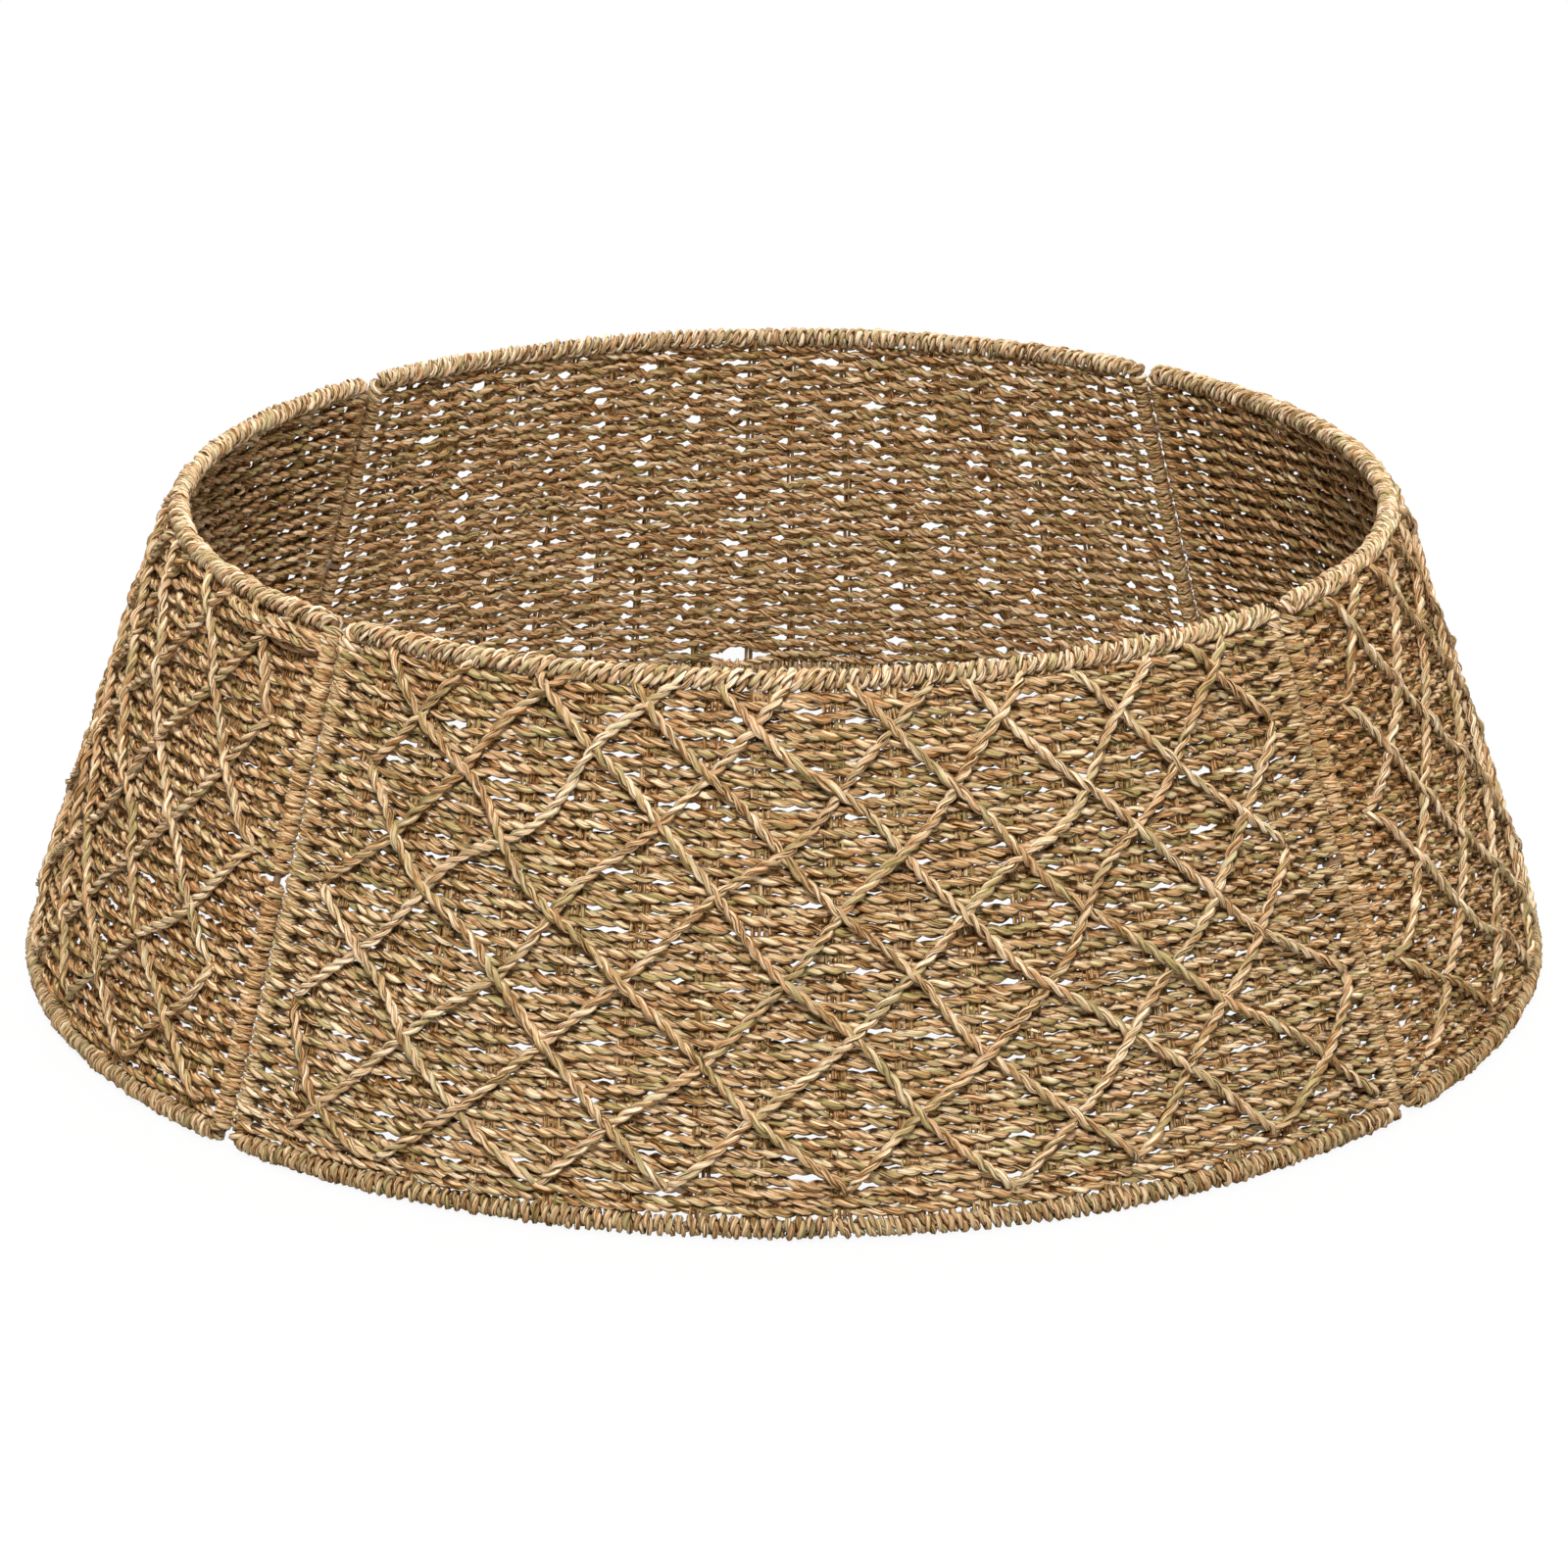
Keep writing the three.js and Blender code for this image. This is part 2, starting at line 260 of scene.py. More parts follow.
@dataclass(frozen=True)
class Strand:
    """A kind of strand: one blade by itself, or plies that are twisted round each other."""

    width: float  # of one ply
    depth: float  # of one ply
    plies: int = 1
    spread: float = 0.0  # middle of the strand to the middle of a ply
    lay: float = 50.0 * MM  # length of one full turn of the plies
    lumps: float = 0.15  # unevenness of a ply's thickness, as a share
    crowd: float = 0.0  # distance of the neighbouring strands, if any
    crowd_shade_gain: float = 6.0  # growth of the painted shade towards a neighbour over that distance
    crowd_shade_start: float = 2.2  # taken off it, so that it starts part of the way out
    sides: int = 5  # corners in the section of a ply
    ply_tint: float = 0.5  # most shift of one ply's colour, either way
    pattern_step: float = 57.0  # from run to run in the pattern of the fibres, in centimetres
    turn_sway: Sway = Sway(1.8, 38.0 * MM)  # unevenness of the lay, in radians
    spread_sway: Sway = Sway(1.0, 16.0 * MM)  # unevenness of the spread, in lumps
    short_lumps: Sway = Sway(0.8, 10.0 * MM)  # short part of the unevenness in thickness, in lumps
    long_lumps: Sway = Sway(0.5, 55.0 * MM)  # long part of it
    blade_twist: Sway = Sway(1.5, 20.0 * MM)  # turn of a ply about itself, in radians

    def outline(self) -> Array:
        """The corners of a ply's section, counter-clockwise, one row of x and y for each."""
        turn = TAU * np.arange(self.sides) / self.sides
        return np.column_stack([self.width / 2.0 * np.cos(turn), self.depth / 2.0 * np.sin(turn)])

    def runs(
        self, rng: np.random.Generator, points: Array, across: Array, tint: float, pull: Any = 1.0
    ) -> list[Run]:
        """A length of this strand.

        Args:
            rng: the source of its irregularities.
            points: the line it follows.
            across: a direction that the line is never along, or one for each point.
            tint: shift of its colour.
            pull: its thickness as a share, or one for each point.

        Returns:
            One run for each ply.
        """
        where = lengths_of(points)
        line = unit(np.gradient(points, axis=0))
        side = unit(np.cross(across, line))
        rise = np.cross(line, side)
        turn = TAU * where / self.lay + rng.uniform(0.0, TAU) + self.turn_sway.draw(rng, where)
        made = []
        for number in range(self.plies):
            phase = (turn + TAU * number / self.plies)[:, None]
            spread = (pull * self.spread * (1.0 + self.lumps * self.spread_sway.draw(rng, where)))[:, None]
            centre = points + spread * (np.cos(phase) * side + np.sin(phase) * rise)
            uneven = self.short_lumps.draw(rng, where) + self.long_lumps.draw(rng, where)
            girth = pull * (1.0 + self.lumps * uneven)
            twist = rng.uniform(0.0, TAU) + self.blade_twist.draw(rng, where)
            shade = tint + rng.uniform(-self.ply_tint, self.ply_tint)
            made.append(Run(centre, points, rise, twist, girth, shade))
        return made

    def sweep(self, name: str, runs: list[Run]) -> Object:
        """Sweeps the outline along each run.

        Args:
            name: name of the piece.
            runs: the plies in the piece.

        Returns:
            A mesh object, with the attributes that its material follows.
        """
        section = bpy.data.curves.new(f"{name}_section", "CURVE")
        section.dimensions = "2D"
        ring = section.splines.new("POLY")
        ring.points.add(self.sides - 1)
        ring.points.foreach_set("co", [c for x, y in self.outline() for c in (x, y, 0.0, 1.0)])
        ring.use_cyclic_u = True

        path = bpy.data.curves.new(f"{name}_path", "CURVE")
        path.dimensions = "3D"
        path.twist_mode = "MINIMUM"
        path.bevel_mode = "OBJECT"
        path.bevel_object = add_object(section.name, section)
        for run in runs:
            spline = path.splines.new("POLY")
            spline.points.add(len(run.points) - 1)
            corners = np.column_stack([run.points, np.ones(len(run.points))])
            spline.points.foreach_set("co", corners.ravel())
            spline.points.foreach_set("tilt", run.twist)
            spline.points.foreach_set("radius", run.girth)
            spline.use_smooth = True
        holder = add_object(path.name, path)

        evaluated = holder.evaluated_get(bpy.context.evaluated_depsgraph_get())
        mesh = bpy.data.meshes.new_from_object(evaluated)
        mesh.name = name
        # A curve that is removed takes its object with it.
        for curve in (path, section):
            bpy.data.curves.remove(curve)
        self.mark(mesh, runs)
        close_ends(mesh)
        return add_object(name, mesh)

    def mark(self, mesh: Mesh, runs: list[Run]) -> None:
        """Writes the attributes that the material follows.

        Fibre is the place round a ply and along it, in centimetres. Crease shade is painted shade: it is 1
        where a ply faces the middle of its strand or meets a neighbour, and falls to -1 where it faces away.

        Args:
            mesh: the swept mesh, whose vertices go round each section in turn.
            runs: the plies in the order in which they were swept.
        """
        corners = self.outline()
        angle = np.arctan2(corners[:, 1], corners[:, 0])
        places = np.empty(3 * len(mesh.vertices))
        mesh.vertices.foreach_get("co", places)
        swept = places.reshape(-1, self.sides, 3)
        points = np.concatenate([run.points for run in runs])[:, None]
        core = np.concatenate([run.core for run in runs])[:, None]
        rise = np.concatenate([run.rise for run in runs])[:, None]
        tint = np.concatenate([np.full(len(run.points), run.tint) for run in runs])
        starts = self.pattern_step * np.arange(len(runs))
        ways = [lengths_of(run.points) / CENTIMETRE + start for run, start in zip(runs, starts)]
        where = np.concatenate(ways)
        turn = np.tile(angle, len(where))
        fibre = np.column_stack([np.cos(turn), np.sin(turn), np.repeat(where, self.sides)])
        spokes = swept - points
        inward = core - points
        size = np.linalg.norm(spokes, axis=2) * np.linalg.norm(inward, axis=2)
        crease_shade = (spokes * inward).sum(axis=2) / np.maximum(size, TINY)
        # Painted shade also grows where a ply nears the neighbouring rows.
        if self.crowd:
            aside = np.abs(((swept - core) * rise).sum(axis=2))
            crease_shade = np.maximum(crease_shade, self.crowd_shade_gain * aside / self.crowd - self.crowd_shade_start)
        mesh.attributes.new("fibre", "FLOAT_VECTOR", "POINT").data.foreach_set("vector", fibre.ravel())
        values = {"crease_shade": np.clip(crease_shade, -1.0, 1.0).ravel(), "tint": np.repeat(tint, self.sides)}
        for name, value in values.items():
            mesh.attributes.new(name, "FLOAT", "POINT").data.foreach_set("value", value)


def linear(code: str) -> tuple[float, float, float, float]:
    """Turns an sRGB hex colour to linear.

    Args:
        code: six hex digits after a hash sign.

    Returns:
        Red, green, blue and full alpha.
    """
    parts = [int(code[i:i + 2], 16) / 255.0 for i in (1, 3, 5)]
    made = [c / 12.92 if c <= 0.04045 else ((c + 0.055) / 1.055) ** 2.4 for c in parts]
    return (made[0], made[1], made[2], 1.0)


def add_node(
    tree: NodeTree, kind: str, links: dict[int | str, Any], out: int | str = 0, **settings: Any
) -> Any:
    """Adds one shader node.

    Args:
        tree: the tree it goes into.
        kind: Blender's name of the node type.
        links: value or output socket for each input, by number or by name.
        out: number or name of the output that is wanted.
        **settings: properties of the node.

    Returns:
        That output, or None where the node has none.
    """
    node = tree.nodes.new(kind)
    for name, value in settings.items():
        setattr(node, name, value)
    for key, value in links.items():
        if isinstance(value, NodeSocket):
            tree.links.new(value, node.inputs[key])
        else:
            node.inputs[key].default_value = value
    return node.outputs[out] if node.outputs else None


def new_material(name: str) -> tuple[Material, NodeTree]:
    """A material with an empty node tree.

    Args:
        name: name of the material.

    Returns:
        The material and its tree.
    """
    material = bpy.data.materials.new(name)
    material.use_nodes = True
    material.node_tree.nodes.clear()
    return material, material.node_tree


@dataclass(frozen=True)
class Grain:
    """A pattern of tone in the blades."""

    width: float  # of one patch round a ply
    length: float  # of one patch along a ply
    detail: float  # levels of finer patches
    roughness: float  # strength of each level, as a share of the one before


@dataclass(frozen=True)
class SeagrassFinish:
    """Dried seagrass, twisted by hand: dull, streaky, and patched with green and rust."""

    name: str
    shade: str  # darkest tone of the blades
    middle: str  # common tone of the blades
    light: str  # pale straw tone
    green: str  # tone of blades that dried green
    rust: str  # tone of blades that dried reddish
    shade_and_crack_tone: str = "#2A1100"  # tone of the painted shade in the creases between plies and rows, and of the cracks between fibres
    ply_radius: float = 1.47 * MM  # of a usual ply
    blade: Grain = Grain(1.96 * MM, 100.0 / 6.0 * MM, 1.5, 0.6)  # changes from blade to blade
    streak: Grain = Grain(0.7 * MM, 12.5 * MM, 3.0, 0.7)  # fibres, coarser than they are so that they show
    patch: Grain = Grain(2.94 * MM, 25.0 * MM, 1.0, 0.5)  # places that dried green or reddish
    roughness: float = 0.6  # of the waxy blades
    relief: float = 0.9 * MM  # height of the ridges between the fibres

    def material(self) -> Material:
        """Builds the material from the fibre, tint and crease shade attributes of a piece, painting shade
        into the creases.

        Returns:
            The material.
        """
        material, tree = new_material(self.name)
        fibre = add_node(tree, "ShaderNodeAttribute", {}, "Vector", attribute_name="fibre")
        tint = add_node(tree, "ShaderNodeAttribute", {}, "Fac", attribute_name="tint")
        crease_shade = add_node(tree, "ShaderNodeAttribute", {}, "Fac", attribute_name="crease_shade")
        # Fibre goes round a ply on a circle of radius 1, and along it in centimetres.
        noises = []
        for grain in (self.blade, self.streak, self.patch):
            around = self.ply_radius / grain.width
            stretch = (around, around, CENTIMETRE / grain.length)
            place = add_node(tree, "ShaderNodeVectorMath", {0: fibre, 1: stretch}, operation="MULTIPLY")
            texture = {"Vector": place, "Scale": 1.0, "Detail": grain.detail, "Roughness": grain.roughness}
            noises.append(add_node(tree, "ShaderNodeTexNoise", texture, "Fac"))
        blade, streak, patch = noises
        # Each share grows from nought at the first value of its source to the last number at the second.
        # Painted shade darkens the creases between the plies and rows, and thin dark cracks run between the
        # fibres.
        shares = {}
        for pattern, source, none, full, most in (
            ("ridges", streak, 0.36, 0.64, 1.0),
            ("green", patch, 0.52, 0.66, 0.6),
            ("rust", patch, 0.42, 0.3, 0.5),
            ("between", crease_shade, 0.37, 0.93, 0.97),
            ("cracks", streak, 0.44, 0.36, 0.9),
        ):
            shares[pattern] = add_node(
                tree, "ShaderNodeMapRange",
                {"Value": source, "From Min": none, "From Max": full, "To Max": most},
            )
        # The tone of each blade is shifted a little from one length of twine to the next; the warps are
        # shifted darker, as painted shade.
        tone: Any = 0.0
        for source, weight in ((tint, 0.1), (blade, 0.55), (shares["ridges"], 0.48)):
            terms = {0: source, 1: weight, 2: tone}
            tone = add_node(tree, "ShaderNodeMath", terms, operation="MULTIPLY_ADD")
        colour = add_node(tree, "ShaderNodeValToRGB", {"Fac": tone})
        stops = colour.node.color_ramp.elements
        stops[0].position = 0.26
        stops[0].color = linear(self.shade)
        stops[1].position = 0.74
        stops[1].color = linear(self.light)
        stops.new(0.49).color = linear(self.middle)
        # Painted shade in the creases and the cracks between the fibres both take the darkest tone.
        shade_and_cracks = add_node(
            tree, "ShaderNodeMath", {0: shares["between"], 1: shares["cracks"]}, operation="MAXIMUM"
        )
        mixes = ((shares["green"], self.green), (shares["rust"], self.rust), (shade_and_cracks, self.shade_and_crack_tone))
        for share, code in mixes:
            blend = {0: share, 6: colour, 7: linear(code)}
            colour = add_node(tree, "ShaderNodeMix", blend, 2, data_type="RGBA")
        bump = add_node(tree, "ShaderNodeBump", {"Height": streak, "Distance": self.relief})
        shader = add_node(
            tree, "ShaderNodeBsdfPrincipled",
            {
                "Base Color": colour, "Normal": bump,
                "Roughness": self.roughness, "IOR": 1.45, "Specular IOR Level": 0.03,
            },
        )
        add_node(tree, "ShaderNodeOutputMaterial", {"Surface": shader})
        return material


@dataclass(frozen=True)
class WireFinish:
    """Mild steel wire in brown paint: satin, with a slight mottle where the paint is thin."""

    name: str = "brown painted steel wire"
    paint: str = "#694D31"
    worn: str = "#8A6A48"  # where the paint is thin
    mottle: float = 4.0 * MM  # size of the thin places
    relief: float = 0.1 * MM  # their depth

    def material(self) -> Material:
        """Builds the material on Object coordinates.

        Returns:
            The material.
        """
        material, tree = new_material(self.name)
        place = add_node(tree, "ShaderNodeTexCoord", {}, "Object")
        noise = add_node(
            tree, "ShaderNodeTexNoise", {"Vector": place, "Scale": 1.0 / self.mottle, "Detail": 3.0}, "Fac"
        )
        colour = add_node(tree, "ShaderNodeValToRGB", {"Fac": noise})
        stops = colour.node.color_ramp.elements
        stops[0].position = 0.45
        stops[0].color = linear(self.paint)
        stops[1].position = 0.75
        stops[1].color = linear(self.worn)
        rough = add_node(tree, "ShaderNodeMapRange", {"Value": noise, "To Min": 0.35, "To Max": 0.55})
        bump = add_node(tree, "ShaderNodeBump", {"Height": noise, "Strength": 0.3, "Distance": self.relief})
        shader = add_node(
            tree, "ShaderNodeBsdfPrincipled", {"Base Color": colour, "Roughness": rough, "Normal": bump}
        )
        add_node(tree, "ShaderNodeOutputMaterial", {"Surface": shader})
        return material


# The name of each piece, its kind of strand and its runs.
Strands = list[tuple[str, Strand, list[Run]]]


@dataclass
class PanelPart:
    """A part of one panel, made of strands."""

    ring: RingForm  # the form that the part lies on
    side: PanelSide
    part: Part
    finish: Material
    seed: int  # start of its irregularities
    rng: np.random.Generator = field(init=False)  # the source of these

    def __post_init__(self) -> None:
        """Starts the part's own irregularities."""
        self.rng = np.random.default_rng(self.seed)

    def strands(self) -> Strands:
        """The strands of the pieces of this part."""
        raise NotImplementedError

    def build(self) -> list[Object]:
        """Makes the pieces and rides them on the panel, in place of a node of the solid model.

        Returns:
            The pieces.
        """
        body = self.side.body
        node, slot = self.part.value
        pieces = [strand.sweep(f"{body}_{name}", runs) for name, strand, runs in self.strands()]
        for piece in pieces:
            piece.data.materials.clear()
            piece.data.materials.append(self.finish)
            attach(piece, body)
            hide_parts(f"{body}_{node}")
        return pieces


@dataclass(frozen=True)
class Opening:
    """A place where the rows of a wall are pushed apart."""

    along: float  # its place from stake to stake
    up: float  # its height on the wall
    length: float  # half its length
    push: float  # how far the rows beside it move
    reach: float = 11.0 * MM  # how far from it rows are still moved


@dataclass
class WovenWall(PanelPart):
    """The wall of one panel: rows of twine woven in and out of upright warps."""

    rows: int = 54  # from rim to rim
    intervals: int = 18  # spaces between the warps, stakes included
    step: float = 1.6 * MM  # distance between points of the twine
    depth: float = 1.4 * MM  # swing of the twine from the middle of the wall
    hold: float = 1.6  # how squarely it swings
    slip: Sway = Sway(0.12, 60.0 * MM)  # stray of its crossings, in spaces between warps
    edge_reach: float = 14.0 * MM  # length beside a stake where the rows lie even and close
    edge_calm: float = 0.6  # share of the jitter that is lost there
    turn: float = 2.9 * MM  # stake to the twine that is wrapped round it
    wraps: float = 5.5  # turns of the twine round a stake between two rows
    wrap_step: float = 2.2 * MM  # distance between points of these turns
    wrap_reach: float = 0.65  # how far these turns run past both rows, in pitches
    margin: float = 6.2 * MM  # rim to the middle of the nearest row
    drift: float = 1.6 * MM  # how far rows rise and fall together
    drift_gain: float = 1.8  # makes up for waves that cancel each other
    wave_count: int = 6  # number of these waves
    wave_along: Pair = (0.6, 3.2)  # fewest and most half waves from stake to stake
    wave_up: Pair = (-1.2, 1.2)  # fewest and most waves from rim to rim
    jitter: Sway = Sway(0.6 * MM, 14.0 * MM)  # how a row rises and falls by itself
    openings: tuple[Opening, ...] = ()
    slits: int = 240  # most small slits between neighbouring rows
    slit_places: tuple[float, ...] = (0.5,)  # where they lie between two warps, as shares
    slit_stray: float = 0.2  # most that they are off it, as a share
    slit_length: float = 5.2 * MM  # half the usual length of a slit
    slit_push: float = 0.74 * MM  # how far the rows beside one usually part
    slit_range: Pair = (0.6, 1.5)  # least and most of these two, as shares of the usual
    slit_next: float = 0.45  # share of the push that moves the next rows
    pull: float = 0.68  # thickness of the twine round a stake, as a share
    pull_reach: float = 5.0 * MM  # length beside a stake over which it thins
    twine: Strand = Strand(  # the twine of the rows
        3.2 * MM, 2.7 * MM, plies=2, spread=0.95 * MM, lay=13.5 * MM, lumps=0.24, crowd=3.6 * MM
    )
    warp: Strand = Strand(2.4 * MM, 1.6 * MM, lumps=0.14, sides=4)  # one strand of a warp
    warp_strands: int = 4  # strands side by side in one warp
    warp_pitch: float = 2.1 * MM  # distance between these strands
    warp_points: int = 30  # points of a strand
    warp_stray: float = 0.012  # most that a warp is off its even place, in half panels
    warp_painted_shade: float = -1.2  # darker shift of the warps' colour, a painted shade for their recess behind the rows
    warp_sway: Sway = Sway(1.6 * MM, 60.0 * MM)  # how a warp sways along the wall
    strand_sway: Sway = Sway(0.3 * MM, 18.0 * MM)  # how each of its strands does
    strand_depth: Sway = Sway(0.3 * MM, 25.0 * MM)  # how each of its strands sways across the wall
    waves: list[Array] = field(init=False)  # half waves along, waves up and start of each wave
    cuts: Array = field(init=False)  # row, place along, half length and push of each slit

    def __post_init__(self) -> None:
        """Draws the waves that the rows share, and the slits."""
        super().__post_init__()
        ranges = (self.wave_along, self.wave_up, (0.0, TAU))
        self.waves = [self.rng.uniform(low, high, self.wave_count) for low, high in ranges]
        # Rows cross between two warps in turn, so a slit has none straight above or below it.
        places = [
            (row + 0.5, space + place)
            for row in range(1, self.rows - 2)
            for space in range(1, self.intervals - 1)
            for place in self.slit_places
            if (row + space) % 2
        ]
        row, space = self.rng.permutation(np.array(places))[:self.slits].T
        count = len(row)
        stray = self.rng.uniform(-self.slit_stray, self.slit_stray, count)
        along = 2.0 * (space + stray) / self.intervals - 1.0
        half = self.slit_length * self.rng.uniform(*self.slit_range, count)
        push = self.slit_push * self.rng.uniform(*self.slit_range, count)
        self.cuts = np.stack([row, along, half, push])

    @property
    def pitch(self) -> float:
        """Distance from one row to the next."""
        return (self.ring.slant - 2.0 * self.margin) / (self.rows - 1)

    def lift(self, along: Array, number: int, up: float) -> Array:
        """How far a row is moved up with its neighbours, or away from them beside openings and slits.

        Args:
            along: places from stake to stake.
            number: the row, counted from the bottom.
            up: height of the row on an even wall.

        Returns:
            The distance at each place.
        """
        half = self.ring.half_length(up)
        share = up / self.ring.slant
        wave_along, wave_up, start = self.waves
        phase = np.outer(along, math.pi * wave_along) + TAU * wave_up * share + start
        lifted = self.drift * np.sin(phase).mean(axis=1) * self.drift_gain * math.sin(math.pi * share)
        for gap in self.openings:
            away = (up - gap.up) / gap.reach
            near = fall_off((along - gap.along) * half, gap.length)
            lifted += gap.push * near * np.sign(away) * max(0.0, 1.0 - abs(away))
        row, place, length, push = self.cuts[:, np.abs(number - self.cuts[0]) < 2.0]
        away = number - row
        push = np.where(np.abs(away) < 1.0, 1.0, self.slit_next) * np.sign(away) * push
        return lifted + (fall_off((along[:, None] - place) * half, length) * push).sum(axis=1)

    def row(self, number: int) -> tuple[Array, Array, Array]:
        """One row from the stake at -1 to the stake at 1.

        Args:
            number: the row, counted from the bottom.

        Returns:
            Place along, height and depth of each of its points.
        """
        up = self.margin + number * self.pitch
        half = self.ring.half_length(up)
        along = np.linspace(-1.0, 1.0, int(2.0 * half / self.step))
        where = (along + 1.0) * half
        close = fall_off((1.0 - np.abs(along)) * half, self.edge_reach)
        swing = self.depth + (self.turn - self.depth) * close
        slip = self.slip.draw(self.rng, where) * (1.0 - close)
        wave = np.cos(math.pi * ((along + 1.0) / 2.0 * self.intervals + number + slip))
        out = swing * np.tanh(self.hold * wave) / math.tanh(self.hold)
        own = self.jitter.draw(self.rng, where) * (1.0 - self.edge_calm * close)
        return along, up + self.lift(along, number, up) * (1.0 - close) + own, out

    def weft(self, first: int, last: int) -> list[Run]:
        """The twine through some rows, wrapped round a stake after each.

        Args:
            first: the first row.
            last: the row after the last.

        Returns:
            The runs of the twine.
        """
        lines, pulls = [], []
        whole = self.wraps * TAU
        bend = np.linspace(0.0, whole, int(whole * self.turn / self.wrap_step) + 2)[1:-1]
        # The turns run past both rows, so that the stake is covered from rim to rim.
        share = bend / whole - self.wrap_reach * np.sin(TAU * bend / whole)
        for number in range(first, last):
            along, heights, out = self.row(number)
            if number % 2:
                along, heights, out = along[::-1], heights[::-1], out[::-1]
            lines.append(self.ring.place(self.side, along, heights, out))
            to_end = (1.0 - np.abs(along)) * self.ring.half_length(heights)
            pulls.append(1.0 - (1.0 - self.pull) * fall_off(to_end, self.pull_reach))
            if number + 1 < last:
                climb = heights[-1] + self.pitch * share
                aside = along[-1] * self.turn * np.sin(bend)
                lines.append(self.ring.place(self.side, along[-1], climb, out[-1] * np.cos(bend), aside))
                pulls.append(np.full(len(bend), self.pull))
        return self.twine.runs(self.rng, np.concatenate(lines), UPRIGHT, 0.0, np.concatenate(pulls))

    def warps(self) -> list[Run]:
        """The warps of the wall.

        Returns:
            The runs of their strands.
        """
        runs = []
        up = np.linspace(0.0, self.ring.slant, self.warp_points)
        for number in range(1, self.intervals):
            stray = self.rng.uniform(-self.warp_stray, self.warp_stray)
            along = 2.0 * number / self.intervals - 1.0 + stray
            sway = self.warp_sway.draw(self.rng, up)
            tangent = self.ring.tangent(self.side, along)
            for strand in range(self.warp_strands):
                beside = (strand - (self.warp_strands - 1) / 2.0) * self.warp_pitch
                own = self.strand_sway.draw(self.rng, up)
                depth = self.strand_depth.draw(self.rng, up)
                points = self.ring.place(self.side, along, up, depth, beside + sway + own)
                runs += self.warp.runs(self.rng, points, tangent, self.warp_painted_shade)
        return runs

    def strands(self) -> Strands:
        """The rows in two pieces, and the warps.

        Returns:
            The strands of three pieces.
        """
        half = self.rows // 2
        return [
            ("weft_low", self.twine, self.weft(0, half)),
            ("weft_high", self.twine, self.weft(half, self.rows)),
            ("warps", self.warp, self.warps()),
        ]


@dataclass
class LooseWall(WovenWall):
    """A wall of thinner twine, with many slits beside its slim warps and a hole at its foot."""

    depth: float = 1.1 * MM
    openings: tuple[Opening, ...] = (Opening(0.025, 9.0 * MM, 11.0 * MM, 6.0 * MM),)
    slits: int = 1000
    slit_places: tuple[float, ...] = (0.23, 0.77)
    slit_length: float = 2.5 * MM
    slit_push: float = 1.55 * MM
    twine: Strand = Strand(
        2.7 * MM, 2.3 * MM, plies=2, spread=0.85 * MM, lay=11.0 * MM, lumps=0.24, crowd=3.6 * MM
    )
    warp_strands: int = 2


@dataclass
class BoundRim(PanelPart):
    """A rim of one panel: twine wound tightly round the rail."""

    pitch: float = 4.0 * MM  # distance between turns along the rail
    lean: float = 0.12  # how far a turn leans along the rail, as a share of its height
    lean_sway: Sway = Sway(0.6, 14.0 * MM)  # unevenness of this, as a share
    steps: int = 12  # points in one turn
    radius: float = 2.85 * MM  # rail to the middle of the twine
    short_sway: Sway = Sway(0.3 * MM, 4.0 * MM)  # unevenness of this from turn to turn
    long_sway: Sway = Sway(0.2 * MM, 25.0 * MM)  # unevenness of this over several turns
    slide: Sway = Sway(0.8 * MM, 9.0 * MM)  # unevenness of the turns along the rail
    bend: float = 4.0 * MM  # radius of the rim's turn at a corner of the panel
    tail: float = 6.0 * MM  # how far the winding goes on along the stake
    floor_clearance: float = 2.2 * MM  # least height of the middle of the twine
    twine: Strand = Strand(
        2.5 * MM, 2.2 * MM, plies=2, spread=0.95 * MM, lay=11.5 * MM, lumps=0.25, crowd=4.0 * MM
    )

    @property
    def rail(self) -> float:
        """Way up the wall to the rail."""
        return self.ring.slant if self.part is Part.TOP_RIM else 0.0

    @property
    def flat(self) -> float:
        """Length of the rail from the middle of the panel to a corner."""
        return self.ring.half_length(self.rail) - self.bend

    def rail_line(self, way: Array, off: Array, out: Array) -> Array:
        """Points beside the line along the rail, round each corner and a little way along the stake.

        Args:
            way: distance along that line from the middle of the panel.
            off: distance from it, away from the wall.
            out: distance from it, across the wall.

        Returns:
            One row of x, y and z for each point.
        """
        turn = np.clip((np.abs(way) - self.flat) / self.bend, 0.0, QUARTER)
        on_rail = np.maximum(self.flat - np.abs(way), 0.0)
        on_stake = np.maximum(np.abs(way) - self.flat - self.bend * QUARTER, 0.0)
        short = on_rail + self.bend * (1.0 - np.sin(turn)) - off * np.sin(turn)
        inward = on_stake + self.bend * (1.0 - np.cos(turn)) - off * np.cos(turn)
        up = self.rail - inward if self.part is Part.TOP_RIM else inward
        half = self.ring.half_length(up)
        place = np.sign(way) * (half - short)
        inside = np.clip(place / half, -1.0, 1.0)
        return self.ring.place(self.side, inside, up, out, place - inside * half)

    def strands(self) -> Strands:
        """The twine round the rail.

        Returns:
            The strands of one piece.
        """
        reach = self.flat + self.bend * QUARTER + self.tail
        turns = int(2.0 * reach / self.pitch)
        angle = np.linspace(0.0, TAU * turns, turns * self.steps + 1)
        along = np.linspace(0.0, 2.0 * reach, len(angle))
        radius = self.radius + self.short_sway.draw(self.rng, along) + self.long_sway.draw(self.rng, along)
        lean = self.lean * (1.0 + self.lean_sway.draw(self.rng, along))
        way = along - reach + self.slide.draw(self.rng, along)
        way = way + lean * radius * np.sin(angle)
        line = self.rail_line(way, radius * np.sin(angle), radius * np.cos(angle))
        line[:, 2] = np.maximum(line[:, 2], self.floor_clearance)
        nothing = np.zeros_like(along)
        across = unit(np.gradient(self.rail_line(along - reach, nothing, nothing), axis=0))
        node, _ = self.part.value
        return [(f"{node}_winding", self.twine, self.twine.runs(self.rng, line, across, 0.0))]


